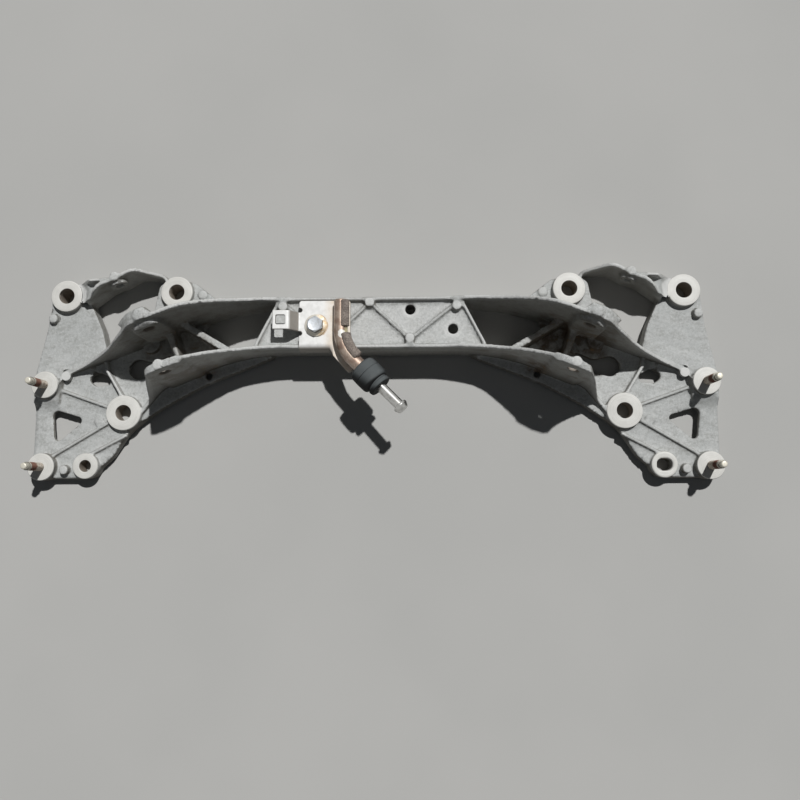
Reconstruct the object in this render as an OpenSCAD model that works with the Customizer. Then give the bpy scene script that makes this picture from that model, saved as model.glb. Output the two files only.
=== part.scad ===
// Cast suspension cross-member with its bolted hanger bracket, lying as it rests on a floor.
// X runs along the beam, Y towards the body mounts, Z up. The origin is under the middle of the part.

/* [Beam] */
// Height of the beam walls at the middle
beam_h = 55; // [50:1:60]
// Height of the ears that hold the control arms
ear_h = 111; // [104:1:118]
// Thickness of the upright walls
wall_t = 4.5; // [4:0.5:6]
// Place of the rear wall across the part
rear_y = 80.5; // [78:0.5:83]
// Place of the front wall across the part
front_y = 25; // [23:0.5:27]
// Gap between the wall feet and the floor
foot_gap = 2; // [1:0.5:3]
// Height of the low arches in the foot of the rear wall
foot_arch_h = 6.5; // [5:0.5:8]
// Half length of those arches
foot_arch_l = 30; // [25:1:35]
// Middle of those arches along the beam
foot_arch_x = 100; // [95:1:105]

/* [Web] */
// Depth of the web below the tops of the walls
web_drop = 6; // [5:0.5:9]
// Thickness of the web
web_t = 4.5; // [3:0.5:6]
// Half length of the web along the rear wall
web_rear_l = 104; // [98:1:110]
// Half length of the web along the front wall
web_front_l = 132; // [126:1:138]
// Width of the stiffening ribs
rib_w = 3.5; // [3:0.5:5]
// Height of the low ribs above their plate
rib_h = 4; // [3:0.5:5]
// Front corners of the zigzag of ribs, along the beam
zigzag_x = 46; // [40:1:52]
// Distance of the zigzag's ends in from the ends of the web
zigzag_end = 3; // [2:0.5:5]
// Distance of the zigzag's rear corners in from the rear wall
zigzag_rear = 4; // [2:0.5:5]
// Distance of the zigzag's front corners in from the front wall
zigzag_front = 8; // [6:0.5:10]
// Diameter of the drilled web holes
web_hole_d = 11.5; // [9:0.5:13]
// Inner web hole along the beam
hole_in_x = 46.5; // [40:0.5:52]
// Inner web hole across the beam
hole_in_y = 68.5; // [66:0.5:70]
// Outer web hole along the beam
hole_out_x = 95.5; // [88:0.5:100]
// Outer web hole across the beam
hole_out_y = 45.5; // [43:0.5:48]

/* [Ejector pads] */
// Diameter of the pads
pad_d = 11; // [9:0.5:13]
// Diameter of the pads on the rear ears
ear_top_d = 13; // [11:0.5:15]
// Height of a pad above its plate
pad_rise = 3; // [2:0.5:4]
// Height of a pad above the top of a wall
top_rise = 1; // [0.5:0.5:2]
// Depth of the tall pads below the faces of the bosses beside them
pad_drop = 1; // [0.5:0.5:3]

/* [Ears] */
// Distance of the front ear's bolt hole from the middle
ear_x = 223.5; // [220:0.5:227]
// Place of the front ear's bolt hole across the beam
ear_y = -7; // [-9:0.5:-5]
// Height of the control arm bolt
ear_bolt_z = 87; // [82:1:92]
// Turn of the ears away from the beam
ear_turn = 21.5; // [18:0.5:25]
// Diameter of the control arm bolt holes
ear_hole_d = 13; // [11:0.5:15]
// Diameter of the raised pads round those holes
ear_pad_d = 34; // [30:1:38]
// Thickness of the front ear behind its bolt face
ear_t = 6; // [5:0.5:8]
// Outward thickening of the front ear
ear_out = 2.5; // [2:0.25:3.5]
// Reach of the thick front ear towards the beam
ear_near = 22; // [18:0.5:25]
// Reach of the thick front ear away from the beam
ear_far = 16.5; // [14:0.5:18]
// Diameter of the spot face under the bolt head
spot_d = 30; // [26:1:32]
// Place of the spot face ahead of the bolt's point
spot_at = 2.5; // [2:0.25:3]
// Space between the ears for the bush of the control arm
ear_gap = 44; // [40:1:47]
// Thickness of the rear ear
rear_ear_t = 14; // [11:0.5:16]
// Height of the column on the inner face of the rear ear
column_h = 6; // [4:0.5:8]
// Reach of that column below the bolt
column_l = 40; // [30:1:44]
// Height of the pad on the back of the rear ear
ear_pad_h = 2; // [1.5:0.5:4]

/* [Struts] */
// Width of the struts between the walls
strut_w = 8; // [6:0.5:10]
// Height of the short strut under the ears above the plate
strut_low_h = 21; // [16:1:26]
// Height of the long strut above the plate
strut_high_h = 34; // [28:1:38]
// Rear end of the short strut along the beam
strut_low_rear = 236; // [232:1:240]
// Front end of the short strut along the beam
strut_low_front = 218; // [214:1:222]
// Rear end of the long strut along the beam
strut_high_rear = 221; // [217:1:225]
// Front end of the long strut along the beam
strut_high_front = 157; // [153:1:161]
// Radius of the corner where the long strut meets the rear wall
bay_r = 14; // [10:1:16]
// Diameter of the round ledge at the foot of the rear ear
ledge_d = 25; // [21:1:28]
// Height of that ledge above the plate
ledge_h = 7; // [5:0.5:9]
// Diameter of the drain holes ahead of the front wall
drain_d = 8; // [6:0.5:9]
// Drain holes along the beam
drain_x = 195; // [190:1:200]
// Distance of the drain holes from the front wall
drain_off = 9; // [7:0.5:11]

/* [Wings] */
// Half length of the casting over the wing edges
half_l = 404; // [399:1:409]
// Level of the low plate
plate_z = 14; // [12:0.5:16]
// Thickness of the plates
plate_t = 7; // [5:0.5:9]
// Rise of the rear plate above the low plate
rear_rise = 6; // [4:0.5:8]
// Rise of the bank along the rear wall above the rear plate
bank_rise = 2; // [1:0.5:3]
// Front edge of the rear plate beside the upper stud
step_y = -40; // [-42:0.5:-38]
// Front edge of the wings
wing_y = -124; // [-127:0.5:-121]
// Thickness of the skirt under the plates
skirt_t = 5; // [4:0.5:7]

/* [Arches] */
// Height of the arch between the body mounts
arch_h = 50; // [45:1:54]
// Furthest reach of the arch towards the rear
arch_y = 124.5; // [122:0.5:127]
// Depth of the shelf beside the arch below its top
shelf_drop = 14; // [12:0.5:16]
// Thickness of the shelf
shelf_t = 6; // [4:0.5:8]
// Depth of the rib behind the shelf below the top of the arch
shelf_rib_drop = 4; // [3:0.5:6]
// Diameter of the hole through the arch
arch_hole_d = 9; // [7:0.5:11]
// Diameter of the boss round that hole
arch_boss_d = 20; // [16:1:22]
// Height of that boss
arch_boss_h = 4; // [3:0.5:6]
// Depth of the hole below the top of the arch
arch_hole_drop = 14; // [12:0.5:16]
// Turn of the hole away from the beam
arch_turn = 20; // [15:1:25]

/* [Mounts] */
// Bore of the large mounting bosses
bore_d = 18.5; // [16:0.5:20]
// Bevel round the tops of the bosses
boss_bevel = 1; // [0.5:0.25:2]
// Diameter of the upper mounting bosses
upper_d = 38; // [35:0.5:40]
// Height of the upper mounting faces
upper_z = 28; // [26:0.5:30]
// Distance of the outer upper boss in from the wing edge
outer_in = 38; // [35:0.5:41]
// Outer upper boss across the beam
outer_y = 94; // [91:0.5:97]
// Inner upper boss along the beam
inner_x = 233; // [230:0.5:236]
// Inner upper boss across the beam
inner_y = 97.5; // [95:0.5:100]
// Diameter of the lower mounting bosses
lower_d = 41.5; // [38:0.5:44]
// Height of the lower mounting faces
lower_z = 22; // [20:0.5:24]
// Lower boss along the beam
lower_x = 294; // [291:0.5:297]
// Lower boss across the beam
lower_y = -46.5; // [-49:0.5:-44]
// Diameter of the locating bosses
locate_d = 30; // [27:0.5:32]
// Height of the locating faces
locate_z = 20.5; // [19:0.5:23]
// Distance of the locating boss in from the wing edge
locate_in = 66.5; // [63:0.5:70]
// Locating boss across the beam
locate_y = -109; // [-112:0.5:-106]
// Bore of the round locating hole, and width of the oblong one
locate_bore_d = 14; // [12:0.5:16]
// Extra length of the oblong locating hole
locate_slot = 4.5; // [3:0.5:6]

/* [Studs] */
// Diameter of the stud bosses
stud_boss_d = 32; // [28:0.5:34]
// Height of the upper stud faces
stud_up_z = 27; // [25:0.5:29]
// Height of the lower stud faces
stud_low_z = 24; // [22:0.5:26]
// Distance of the upper stud in from the wing edge
stud_up_in = 16; // [14:0.5:18]
// Upper stud across the beam
stud_up_y = -13; // [-15:0.5:-11]
// Distance of the lower stud in from the wing edge
stud_low_in = 15; // [13:0.5:17]
// Lower stud across the beam
stud_low_y = -110; // [-112:0.5:-108]
// Thread diameter of the studs
stud_d = 10; // [8:0.5:11]
// Diameter of the end that is screwed into the boss
stud_root_d = 12; // [11.5:0.5:14]
// Length of a stud above its face
stud_l = 38; // [30:1:45]
// Depth of the stud in its boss
stud_in = 16; // [12:1:18]
// Diameter of the narrow pilot at the tip
pilot_d = 7.8; // [6:0.2:7.8]
// Length of that pilot
pilot_l = 7; // [4:0.5:9]
// Radial clearance of the studs and of the bracket bolt
fit_gap = 0.05; // [0.02:0.01:0.1]

/* [Hanger bracket] */
// Thickness of the pressed plate
sheet_t = 3.5; // [3:0.25:4.5]
// Left edge of the plate
sheet_left = -80.5; // [-84:0.5:-77]
// Right edge of the plate
sheet_right = -21.5; // [-23:0.5:-20]
// Rear edge of the plate
sheet_rear = 77.5; // [76:0.5:79]
// Right end of the lip that hooks over the front wall
lip_right = -46; // [-50:0.5:-44]
// Depth of the lip below the top of the plate
lip_drop = 11; // [8:0.5:14]
// Gap between the lip and the front wall
lip_gap = 0.3; // [0.2:0.1:0.6]
// Bolt along the beam
bolt_x = -61; // [-63:0.5:-59]
// Bolt across the beam
bolt_y = 48.5; // [46:0.5:51]
// Thread diameter of the bracket bolt
bolt_d = 12; // [10:0.5:14]
// Length of the bolt under its flange
bolt_l = 25; // [20:1:30]
// Width of the bolt head across its flats
bolt_flats = 18; // [16:0.5:21]
// Height of the bolt head above the plate
bolt_head_h = 10; // [8:0.5:12]
// Diameter of the bolt flange
bolt_flange_d = 26; // [24:0.5:30]
// Thickness of the bolt flange
bolt_flange_t = 2.5; // [2:0.5:4]
// Clearance of the bolt in the plate
bolt_play = 1; // [0.5:0.25:2]
// Radius of the corners of the plate
sheet_corner = 3; // [2:0.5:4]
// Tip of the tongue under the rod, along the beam
tongue_x = -23; // [-25:0.5:-21]
// Tip of the tongue under the rod, across the beam
tongue_y = -7; // [-9:0.5:-5]
// Width of the end of the tongue, along the beam
tongue_w = 10; // [8:0.5:12]
// Place of the connector tab beyond the bolt, across the beam
tab_off = 4.5; // [3:0.5:6]
// Reach of the connector tab beyond the plate
tab_l = 28; // [25:0.5:31]
// Length of the slope up to the connector tab
tab_slope_l = 10; // [8:0.5:12]
// Centre line radius of the bends in the tab
tab_bend_r = 4; // [3:0.5:5]
// Rise of the connector tab above the plate
tab_rise = 13; // [9:0.5:16]
// Width of the connector tab
tab_w = 22; // [18:0.5:25]
// Side of the square window in the tab
tab_window = 10.5; // [8:0.5:13]
// Diameter of the relief notches beside the tab
notch_d = 5; // [4:0.5:6]
// Distance of the notches in from the edge of the plate
notch_in = 1.2; // [0.8:0.1:1.6]

/* [Hanger] */
// Diameter of the hanger rod
rod_d = 16; // [14:0.5:17]
// Reach of the rod beyond the rear edge of the plate
rod_over = 1; // [0.5:0.5:2]
// Width of the weld run along the rod
bead_d = 9.5; // [8:0.5:10]
// Weld run beside the axis of the rod
bead_side = 5.3; // [5:0.1:5.6]
// Weld run above the axis of the rod
bead_up = 4; // [3.5:0.1:4.5]
// Thinning of the rod through its bend
rod_step = 0.2; // [0.1:0.1:0.5]
// Rod along the beam
rod_x = -31.5; // [-33:0.5:-30]
// Centre line radius of the bend in the rod
bend_r = 48; // [40:1:56]
// Angle of the bend
bend_turn = 45; // [40:1:50]
// Place across the part where the two legs of the rod would meet
bend_y = 22; // [19:0.5:25]
// Upward tilt of the bent leg
leg_tilt = 9; // [6:0.5:12]
// Distance of the rubber from the corner of the rod
rubber_at = 34; // [30:0.5:38]
// Diameter of the rubber
rubber_d = 33; // [29:0.5:37]
// Length of the rubber body
rubber_l = 25; // [20:0.5:30]
// Diameter of the lip of the rubber
rubber_lip_d = 25; // [22:0.5:28]
// Length of the lip of the rubber
rubber_lip_l = 6; // [4:0.5:8]
// Length of the rod inside the rubber
rod_in = 12; // [8:0.5:15]
// Diameter of the pin
pin_d = 11.5; // [9:0.5:13]
// Length of the pin beyond the rubber
pin_l = 37; // [30:1:45]
// Diameter of the pin head
pin_head_d = 17; // [15:0.5:20]
// Length of the pin head
pin_head_l = 7; // [5:0.5:9]
// Radial clearance of the rod and the pin in the rubber
rubber_gap = 0.1; // [0.05:0.05:0.3]

/* [Hidden] */
$fn = 64;
arc_step = 5;
far = 2000;
merge = 1;
web_z = beam_h - web_drop;
rib_top = web_z + rib_h;
rear_plate_z = plate_z + rear_rise;
outer_x = half_l - outer_in;
locate_x = half_l - locate_in;
stud_up_x = half_l - stud_up_in;
stud_low_x = half_l - stud_low_in;
sheet_z = beam_h + sheet_t;
rod_z = sheet_z + rod_d / 2 + fit_gap;
bend_back = bend_r * tan(bend_turn / 2);
rubber_end = rubber_at + rubber_l + rubber_lip_l;
rod_end = rubber_at + rod_in;

// Points of a path or a loop whose corners are given as [x, y, radius]
function flat(p) = [p.x, p.y];
function soft(p, r) = [p.x, p.y, r];
function unit(v) = v / norm(v);
function turned(v, a) = [v.x * cos(a) - v.y * sin(a), v.x * sin(a) + v.y * cos(a)];
function round_corner(a, b, c) =
    let (
        u = unit(flat(a) - flat(b)),
        v = unit(flat(c) - flat(b)),
        half = acos(u * v) / 2,
        room = min(norm(flat(a) - flat(b)), norm(flat(c) - flat(b))) * tan(half) / 2,
        r = len(b) > 2 ? min(b[2], room) : 0,
        centre = flat(b) + unit(u + v) * r / sin(half),
        spoke = flat(b) + u * r / tan(half) - centre,
        way = u.x * v.y - u.y * v.x > 0 ? -1 : 1,
        sweep = 180 - 2 * half,
        n = max(2, ceil(sweep / arc_step))
    )
    r == 0 ? [flat(b)] : [for (i = [0 : n]) centre + turned(spoke, way * sweep * i / n)];
function path(pts) = [
    for (i = [0 : len(pts) - 1])
        each i == 0 || i == len(pts) - 1
            ? [flat(pts[i])]
            : round_corner(pts[i - 1], pts[i], pts[i + 1])
];
function loop(pts) = [
    for (i = [0 : len(pts) - 1])
        each round_corner(pts[(i + len(pts) - 1) % len(pts)], pts[i], pts[(i + 1) % len(pts)])
];
function backwards(line) = [for (i = [len(line) - 1 : -1 : 0]) line[i]];
function both_sides(line) = concat(
    backwards([for (i = [1 : len(line) - 1]) [-line[i].x, line[i].y]]), line);
function side_of(line, d) = [
    for (i = [0 : len(line) - 1])
        let (t = unit(line[min(i + 1, len(line) - 1)] - line[max(i - 1, 0)]))
            line[i] + d * [-t.y, t.x]
];
function strip(line, w, shift = 0) =
    concat(side_of(line, shift + w / 2), backwards(side_of(line, shift - w / 2)));

// Ears: the way along them, the way of the bolt, and the faces that the bolt passes
ear_foot = [ear_x, ear_y];
ear_way = [cos(ear_turn), -sin(ear_turn)];
bolt_way = [sin(ear_turn), cos(ear_turn)];
front_seat = 0.3 * wall_t;
rear_face = ear_t + ear_gap;
rear_back = rear_face + column_h + rear_ear_t + ear_pad_h;
front_end = ear_foot + front_seat * bolt_way + 28 * ear_way;
rear_mid = ear_foot + (rear_face + column_h + wall_t / 2) * bolt_way;
rear_end = rear_mid + 18 * ear_way;

// Lines of the two beam walls in plan, and the heights of their tops
fall_top = [283, 24];
fall_foot = [312, 13];
rear_line = path([
    [0, rear_y], [156, rear_y, 270], soft(rear_end, 20), soft(fall_top, 22), soft(fall_foot, 50),
    [stud_up_x, stud_up_y],
]);
front_line = path([
    [0, front_y], [149, front_y, 260], soft(front_end, 30), [lower_x - lower_d / 2 + merge, lower_y],
]);
function on_rear(x) = [x, lookup(x, rear_line)];
function on_front(x) = [x, lookup(x, front_line)];
rise = [[0, beam_h], [88, beam_h, 80], [145, beam_h + 10, 70], [ear_x - 17.5, ear_h, 35]];
rear_tops = path(concat(rise, [
    [rear_end.x - 4, ear_h - 2, 25], [297, 71, 60], [342, 40, 60], [stud_up_x + stud_boss_d, rear_plate_z],
]));
front_tops = path(concat(rise, [
    [ear_x + 13.5, ear_h, 12], [252, 64], [263, plate_z + 8, 8], [lower_x, plate_z],
]));

// Arch between the upper bosses, with places along it as shares of their distance
function arch_at(share) = inner_x + share * (outer_x - inner_x);
arch_peak = [arch_at(0.505), 109];
arch_end = [arch_at(0.81), outer_y - 9];
arch_bend = [arch_at(0.63), outer_y + 9];
rib_end = [outer_x - 10, outer_y + 12];
rib_start = [arch_at(0.545), 110];
arch_line = path([
    arch_end, soft(arch_bend, 18), arch_peak, [arch_at(0.36), arch_y - 4, 30], [arch_at(0.11), arch_y - 7, 7],
    [inner_x + 12, inner_y + 8],
]);
arch_tops = path([
    [inner_x, rear_plate_z], [arch_at(0.09), rear_plate_z, 10], [arch_at(0.15), upper_z, 20],
    [arch_at(0.345), arch_h, 14],
    [arch_at(0.685), arch_h, 12], [arch_at(0.84), rear_plate_z], [outer_x, rear_plate_z],
]);
shelf_outline = [arch_end, arch_bend, rib_start, rib_end, [outer_x - 15, outer_y - 8]];

// Outlines of the plates and windows of the right wing, some as shares of the wing's width
function wing_at(share) = lower_x + share * (half_l - lower_x);
low_outline = loop([
    [half_l, step_y + 2 * merge], [half_l, wing_y, 16], [locate_x, locate_y - 15.5, 20],
    [locate_x - 28.5, locate_y + 9, 30], [lower_x - 7, lower_y - 19.5, 60], [250, -40.5, 120], [200, -13, 200],
    [web_front_l - 14, front_y - 6], [web_front_l - 14, front_y], [150, front_y], [171, 21],
    on_rear(218), soft(rear_end, 20), soft(fall_top, 22), fall_foot, [stud_up_x, stud_up_y],
]);
rear_outline = loop([
    [half_l, step_y], [half_l - 1, 0, 60], [half_l - 13, 54, 200], [outer_x + 21, outer_y], [outer_x - 12, outer_y + 12],
    [outer_x - 30, 80, 8], [outer_x - 42, 54, 40], [outer_x - 49, 28, 20], on_rear(outer_x - 49),
    [stud_up_x - 18, stud_up_y + 6], [stud_up_x - 14, step_y],
]);
bank_outline = loop([
    on_rear(outer_x - 48), [outer_x - 48, 26, 4], [outer_x - 41, 34, 8], [half_l - 12, 11, 8], [stud_up_x, stud_up_y],
]);
inner_outline = loop([
    [inner_x + 23, inner_y + 14, 10], [inner_x + 29, inner_y - 19.5, 30], rear_end, on_rear(165),
    [inner_x - 49, inner_y - 9.5, 20], [inner_x - 19, inner_y + 14, 12],
]);
clevis_window = loop([
    [296, 5, 8], [284, 19, 8], [262, 14, 10], [240, 24, 4], [237, 12, 4], [262, -1, 10], [283, -6, 8],
]);
oblong_window = loop([
    [wing_at(0.445), -4, 6], [wing_at(0.31), 4, 7], [wing_at(0.173), -5, 4], [wing_at(0.19), -12, 4],
    [wing_at(0.345), -14, 7],
]);
triangle_window = loop([[wing_at(0.81), -41, 6], [wing_at(0.445), -53, 4], [wing_at(0.765), -84, 5]]);

// Ribs on the low plate as start, end and height, and pads as place, foot and height
wing_ribs = [
    [[stud_up_x, stud_up_y], [lower_x, lower_y], rib_h],
    [[stud_low_x, stud_low_y + 6.5], [lower_x, lower_y], rib_h],
    [[locate_x - 5, locate_y + 14], [lower_x - 4, lower_y - 26], rib_h],
    [[lower_x + 3, lower_y + 20], [wing_at(0.22), 8], 2 * rib_h],
];
wing_pads = [
    [[inner_x - 30, inner_y - 2], rear_plate_z, pad_rise],
    [[outer_x + 16, outer_y - 27], rear_plate_z, upper_z - pad_drop - rear_plate_z],
    [[stud_up_x - 24, stud_up_y + 9], plate_z, rear_rise + 2 * pad_rise],
    [[(locate_x + stud_low_x) / 2 - 1, stud_low_y - 3.5], plate_z, stud_low_z - pad_drop - plate_z],
    [[lower_x + 30.5, lower_y - 10], plate_z, pad_rise],
    [[arch_peak.x, arch_peak.y + 2.5], arch_h - 2 * pad_rise, 2 * pad_rise + top_rise],
    [[ear_x - 1, ear_y + 3.5], ear_h - 2 * pad_rise, 2 * pad_rise + top_rise],
];

// A wall that follows a line in plan and is cut to the heights of its top
module wall(line, tops, w, shift = 0) {
    last = len(tops) - 1;
    intersection() {
        translate([0, 0, foot_gap])
            linear_extrude(2 * ear_h)
                polygon(strip(line, w, shift));
        rotate([90, 0, 0])
            translate([0, 0, -far / 2])
                linear_extrude(far)
                    polygon(concat([[tops[0].x, 0]], tops, [[tops[last].x, 0]]));
    }
}

// A flat layer with its top at a level
module layer(outline, top, t) {
    translate([0, 0, top - t])
        linear_extrude(t)
            polygon(outline);
}

// A plate with a skirt round its edge
module plate(outline, z) {
    layer(outline, z, plate_t);
    translate([0, 0, foot_gap])
        linear_extrude(z - plate_t / 2 - foot_gap)
            difference() {
                polygon(outline);
                offset(delta = -skirt_t)
                    polygon(outline);
            }
}

// A straight rib between two points, from one level to another
module rib(from, to, bottom, top, w = rib_w) {
    layer(strip([from, to], w), top, top - bottom);
}

module post(at, d, bottom, top) {
    translate([at.x, at.y, bottom])
        cylinder(d = d, h = top - bottom);
}

// A boss that stands on the floor, with a bevelled top
module boss(x, y, d, top) {
    post([x, y], d, 0, top - boss_bevel);
    translate([x, y, top - boss_bevel])
        cylinder(d1 = d, d2 = d - 2 * boss_bevel, h = boss_bevel);
}

module beam() {
    wall(both_sides(rear_line), both_sides(rear_tops), wall_t);
    wall(both_sides(front_line), both_sides(front_tops), wall_t);
    corners = [[web_rear_l, rear_y], [web_front_l, front_y], [-web_front_l, front_y], [-web_rear_l, rear_y]];
    layer(corners, web_z, web_t);
    zigzag = [
        [web_rear_l - zigzag_end, rear_y - zigzag_rear], [zigzag_x, front_y + zigzag_front],
        [0, rear_y - zigzag_rear],
    ];
    for (side = [-1, 1]) {
        rib([side * web_rear_l, rear_y], [side * web_front_l, front_y], web_z - web_t, beam_h - merge);
        for (i = [0 : 1])
            rib([side * zigzag[i].x, zigzag[i].y], [side * zigzag[i + 1].x, zigzag[i + 1].y],
                web_z - merge, rib_top);
        for (p = zigzag)
            post([side * p.x, p.y], pad_d, web_z - merge, beam_h - merge);
    }
    post([bolt_x, bolt_y], bolt_flange_d, web_z - web_t, beam_h);
}

module ears() {
    wall([on_front(ear_x - ear_near), on_front(ear_x + ear_far)], front_tops, ear_t + ear_out,
        (ear_t - ear_out - wall_t) / 2);
    wall(path([rear_mid - 13 * ear_way, soft(rear_end, 20), rear_end + 10 * unit(fall_top - rear_end)]),
        rear_tops, rear_ear_t, (rear_ear_t - wall_t) / 2);
    post(rear_mid + 3.5 * bolt_way, ear_top_d, ear_h - 2 * pad_rise, ear_h + top_rise);
    ear_axis() {
        cylinder(d = ear_pad_d, h = ear_t);
        translate([0, 0, rear_face])
            cylinder(d = ear_pad_d, h = rear_back - rear_face);
        // column below the bolt on the inner face of the rear ear
        translate([0, column_l, rear_face])
            cylinder(d = ear_pad_d, h = column_h + wall_t);
        translate([-ear_pad_d / 2, 0, rear_face])
            cube([ear_pad_d, column_l, column_h + wall_t]);
    }
}

module struts() {
    foot = plate_z - plate_t;
    low_ends = [on_rear(strut_low_rear), on_front(strut_low_front)];
    high_ends = [on_rear(strut_high_rear), on_front(strut_high_front)];
    rib(low_ends[0], low_ends[1], foot, plate_z + strut_low_h, strut_w);
    rib(high_ends[0], high_ends[1], foot, plate_z + strut_high_h, strut_w);
    bay_corner = round_corner(high_ends[1], soft(high_ends[0], bay_r + strut_w / 2), on_rear(strut_high_rear - 60));
    layer(concat([high_ends[0]], bay_corner), plate_z, plate_t);
    post(on_rear(rear_end.x + 4), ledge_d, foot, plate_z + ledge_h);
}

module arch() {
    wall(arch_line, arch_tops, wall_t);
    rib(rib_end, rib_start, foot_gap, arch_h - shelf_rib_drop);
    layer(shelf_outline, arch_h - shelf_drop, shelf_t);
    arch_axis()
        cylinder(d = arch_boss_d, h = arch_boss_h + wall_t / 2);
}

module wing() {
    plate(low_outline, plate_z);
    plate(rear_outline, rear_plate_z);
    plate(inner_outline, rear_plate_z);
    layer(bank_outline, rear_plate_z + bank_rise, bank_rise + merge);
    ears();
    struts();
    arch();
    for (r = wing_ribs)
        rib(r[0], r[1], plate_z - merge, plate_z + r[2]);
    for (p = wing_pads)
        post(p[0], pad_d, p[1] - merge, p[1] + p[2]);
    boss(outer_x, outer_y, upper_d, upper_z);
    boss(inner_x, inner_y, upper_d, upper_z);
    boss(lower_x, lower_y, lower_d, lower_z);
    boss(locate_x, locate_y, locate_d, locate_z);
    boss(stud_up_x, stud_up_y, stud_boss_d, stud_up_z);
    boss(stud_low_x, stud_low_y, stud_boss_d, stud_low_z);
}

// Places its children on the axis of the control arm bolt, at the front ear
module ear_axis() {
    translate([ear_x, ear_y, ear_bolt_z])
        rotate([-90, 0, -ear_turn])
            children();
}

// Places its children on the axis of the hole through the arch, pointing to the front
module arch_axis() {
    translate([arch_peak.x, arch_peak.y, arch_h - arch_hole_drop])
        rotate([90, 0, -arch_turn])
            children();
}

module bore(x, y, d, bottom = -merge) {
    translate([x, y, bottom])
        cylinder(d = d, h = far);
}

module wing_cuts() {
    reach = 2 * ear_pad_d;
    for (window = [clevis_window, oblong_window, triangle_window])
        layer(window, plate_z + merge, plate_z + 2 * merge);
    ear_axis() {
        translate([0, 0, -reach])
            cylinder(d = ear_hole_d, h = rear_back + 2 * reach);
        translate([0, 0, -reach])
            cylinder(d = spot_d, h = reach - spot_at);
    }
    arch_axis()
        cylinder(d = arch_hole_d, h = reach, center = true);
    bore(outer_x, outer_y, bore_d);
    bore(inner_x, inner_y, bore_d);
    bore(lower_x, lower_y, bore_d);
    bore(locate_x, locate_y, locate_bore_d);
    bore(stud_up_x, stud_up_y, stud_root_d + 2 * fit_gap, stud_up_z - stud_in);
    bore(stud_low_x, stud_low_y, stud_root_d + 2 * fit_gap, stud_low_z - stud_in);
    bore(drain_x, on_front(drain_x).y - drain_off, drain_d);
    // low arch in the foot of the rear wall
    arch_r = (foot_arch_l ^ 2 + foot_arch_h ^ 2) / (2 * foot_arch_h);
    translate([foot_arch_x, rear_y, foot_arch_h - arch_r])
        rotate([90, 0, 0])
            cylinder(r = arch_r, h = 4 * wall_t, center = true);
}

module crossmember() {
    color("lightsteelblue")
        difference() {
            union() {
                beam();
                wing();
                mirror([1, 0, 0])
                    wing();
            }
            wing_cuts();
            mirror([1, 0, 0])
                wing_cuts();
            for (end = [-1, 1])
                bore(locate_x + end * locate_slot / 2, locate_y, locate_bore_d);
            translate([locate_x - locate_slot / 2, locate_y - locate_bore_d / 2, -merge])
                cube([locate_slot, locate_bore_d, far]);
            bore(hole_in_x, hole_in_y, web_hole_d);
            bore(hole_out_x, hole_out_y, web_hole_d);
            bore(bolt_x, bolt_y, bolt_d + 2 * fit_gap);
        }
}

module stud(x, y, face) {
    color("darkkhaki")
        translate([x, y, face]) {
            translate([0, 0, -stud_in])
                cylinder(d = stud_root_d, h = stud_in);
            translate([0, 0, -merge])
                cylinder(d = stud_d, h = merge + stud_l - pilot_l);
            cylinder(d = pilot_d, h = stud_l);
        }
}

module stud_left_upper() { stud(-stud_up_x, stud_up_y, stud_up_z); }
module stud_left_lower() { stud(-stud_low_x, stud_low_y, stud_low_z); }
module stud_right_upper() { stud(stud_up_x, stud_up_y, stud_up_z); }
module stud_right_lower() { stud(stud_low_x, stud_low_y, stud_low_z); }

module hanger_bracket() {
    lip_y = front_y - wall_t / 2 - lip_gap;
    tab_y = bolt_y + tab_off;
    mid = beam_h + sheet_t / 2;
    tab_end = sheet_left - tab_l;
    blank = loop([
        [sheet_left, sheet_rear, sheet_corner], [sheet_left, lip_y], [lip_right, lip_y], [lip_right, lip_y - sheet_t],
        [tongue_x, tongue_y, sheet_corner], [tongue_x + tongue_w, tongue_y + tongue_w, sheet_corner],
        [sheet_right, front_y, sheet_corner], [sheet_right, sheet_rear, sheet_corner],
    ]);
    lip_section = loop([
        [lip_y + merge, sheet_z], [lip_y - sheet_t, sheet_z, sheet_t], [lip_y - sheet_t, sheet_z - lip_drop],
        [lip_y, sheet_z - lip_drop], [lip_y, beam_h], [lip_y + merge, beam_h],
    ]);
    tab_line = path([
        [sheet_left + sheet_t, mid], [sheet_left - merge, mid, tab_bend_r],
        [sheet_left - tab_slope_l, mid + tab_rise, tab_bend_r], [tab_end, mid + tab_rise],
    ]);
    color("gainsboro")
        difference() {
            union() {
                translate([0, 0, beam_h])
                    linear_extrude(sheet_t)
                        polygon(blank);
                translate([sheet_left, 0, 0])
                    rotate([90, 0, 90])
                        linear_extrude(lip_right - sheet_left)
                            polygon(lip_section);
                translate([0, tab_y + tab_w / 2, 0])
                    rotate([90, 0, 0])
                        linear_extrude(tab_w)
                            polygon(strip(tab_line, sheet_t));
            }
            bore(bolt_x, bolt_y, bolt_d + 2 * bolt_play);
            for (end = [-1, 1])
                bore(sheet_left + notch_in, tab_y + end * (tab_w / 2 + notch_d / 2), notch_d);
            translate([(tab_end + sheet_left - tab_slope_l) / 2, tab_y, mid + tab_rise])
                cube([tab_window, tab_window, 3 * sheet_t], center = true);
        }
}

module bracket_bolt() {
    color("silver")
        translate([bolt_x, bolt_y, sheet_z]) {
            translate([0, 0, -bolt_l])
                cylinder(d = bolt_d, h = bolt_l + merge);
            cylinder(d = bolt_flange_d, h = bolt_flange_t);
            cylinder(d = bolt_flats / cos(30), h = bolt_head_h, $fn = 6);
        }
}

// Places its children at the corner of the rod, with +X along the bent leg
module bent_leg() {
    translate([rod_x, bend_y, rod_z])
        rotate([0, -leg_tilt, 0])
            rotate([0, 0, bend_turn - 90])
                children();
}

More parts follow.
